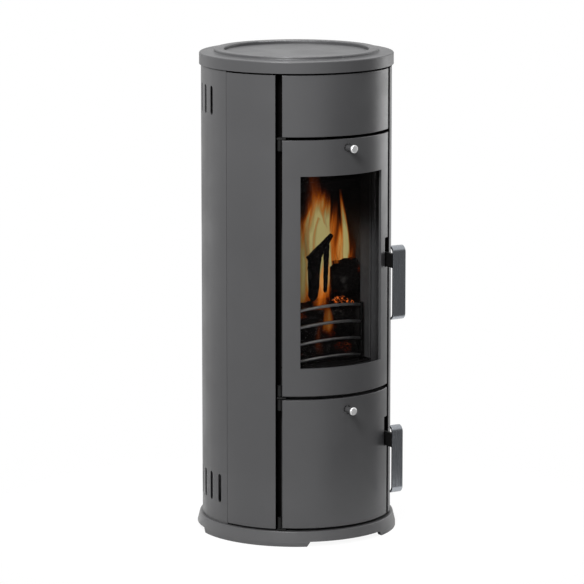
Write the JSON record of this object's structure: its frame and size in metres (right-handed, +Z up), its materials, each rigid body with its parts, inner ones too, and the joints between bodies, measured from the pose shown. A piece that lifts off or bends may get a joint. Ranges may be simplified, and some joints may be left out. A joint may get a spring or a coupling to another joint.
{
  "type": "wood stove",
  "caption": "Round free-standing wood stove with a curved glazed fire door over a curved ash door, lifting bar handles, push-pull air knobs and a rear flue outlet.",
  "frame": {"origin": "centre of the round base, on the floor", "axes": "+Z up, the doors face -Y, the flue outlet points along +Y, +X to the right seen from the front"},
  "size_m": [0.454, 0.4865, 1.0968],
  "materials": {
    "casing_paint": "matt grey heat-proof paint",
    "cast_paint": "cast, matt grey heat-proof paint",
    "black_steel": "matt black",
    "frame_paint": "matt grey heat-proof paint, black in the side gaps",
    "cast_black": "raw cast, sooted",
    "plated_steel": "zinc plated",
    "guard_steel": "bare steel, sooted at the ends",
    "handle_steel": "brushed",
    "knob_steel": "turned, satin",
    "firebrick": "pressed board, sooted",
    "window_glass": "heat-proof glass",
    "rope": "woven glass fibre"
  },
  "bodies": {
    "stove_body": {"ash_pan": "plated_steel", "ash_pan_rails": "plated_steel", "baffle_plate": "firebrick", "base_floor_plate": "black_steel", "base_plinth": "cast_paint", "body_shell": "black_steel", "casing_posts": "black_steel", "casing_screws": "plated_steel", "firebox_floor": "black_steel", "firebox_roof": "black_steel", "floor_firebricks": "firebrick", "flue_collar": "black_steel", "front_frame": "frame_paint", "grate": "cast_black", "hinge_pins": "black_steel", "hinge_plates": "black_steel", "latch_keepers": "plated_steel", "left_firebrick": "firebrick", "left_side_panel": "casing_paint", "log_guard": "guard_steel", "panel_joiner_strips": "black_steel", "rear_firebrick": "firebrick", "rear_left_firebrick": "firebrick", "rear_panel": "casing_paint", "rear_right_firebrick": "firebrick", "right_firebrick": "firebrick", "right_side_panel": "casing_paint", "top_insert_plate": "cast_paint", "top_plate": "cast_paint", "upper_front_panel": "casing_paint", "upper_panel_posts": "black_steel"},
    "fire_door": {"fire_door_air_bush": "plated_steel", "fire_door_clamp_screws": "plated_steel", "fire_door_glass": "window_glass", "fire_door_glass_clamps": "black_steel", "fire_door_glass_tape": "rope", "fire_door_knuckles": "black_steel", "fire_door_latch_guides": "plated_steel", "fire_door_panel": "casing_paint", "fire_door_rope_seal": "rope"},
    "fire_latch": {"fire_door_latch_bar": "plated_steel", "fire_door_handle_arm": "black_steel", "fire_door_handle_bolts": "plated_steel", "fire_door_handle_grip": "handle_steel"},
    "fire_air": {"fire_door_knob_stem": "casing_paint", "fire_door_knob_cap": "knob_steel", "fire_door_air_slide": "plated_steel"},
    "ash_door": {"ash_door_air_bush": "plated_steel", "ash_door_knuckles": "black_steel", "ash_door_latch_guides": "plated_steel", "ash_door_panel": "casing_paint", "ash_door_rope_seal": "rope"},
    "ash_latch": {"ash_door_latch_bar": "plated_steel", "ash_door_handle_arm": "black_steel", "ash_door_handle_bolts": "plated_steel", "ash_door_handle_grip": "handle_steel"},
    "ash_air": {"ash_door_knob_stem": "casing_paint", "ash_door_knob_cap": "knob_steel", "ash_door_air_slide": "plated_steel"}
  },
  "joints": [
    {"name": "fire_door_swing", "type": "hinge", "parent": "stove_body", "child": "fire_door", "pos_m": [-0.1404, -0.15414, 0.628], "axis": [0, 0, -1], "range_deg": [0, 100]},
    {"name": "ash_door_swing", "type": "hinge", "parent": "stove_body", "child": "ash_door", "pos_m": [-0.1404, -0.15414, 0.1855], "axis": [0, 0, -1], "range_deg": [0, 100]},
    {"name": "fire_latch_lift", "type": "slide", "parent": "fire_door", "child": "fire_latch", "axis": [0, 0, 1], "range_m": [0, 0.03]},
    {"name": "ash_latch_lift", "type": "slide", "parent": "ash_door", "child": "ash_latch", "axis": [0, 0, 1], "range_m": [0, 0.03]},
    {"name": "fire_air_push", "type": "slide", "parent": "fire_door", "child": "fire_air", "axis": [0, 1, 0], "range_m": [0, 0.007]},
    {"name": "ash_air_push", "type": "slide", "parent": "ash_door", "child": "ash_air", "axis": [0, 1, 0], "range_m": [0, 0.007]}
  ]
}
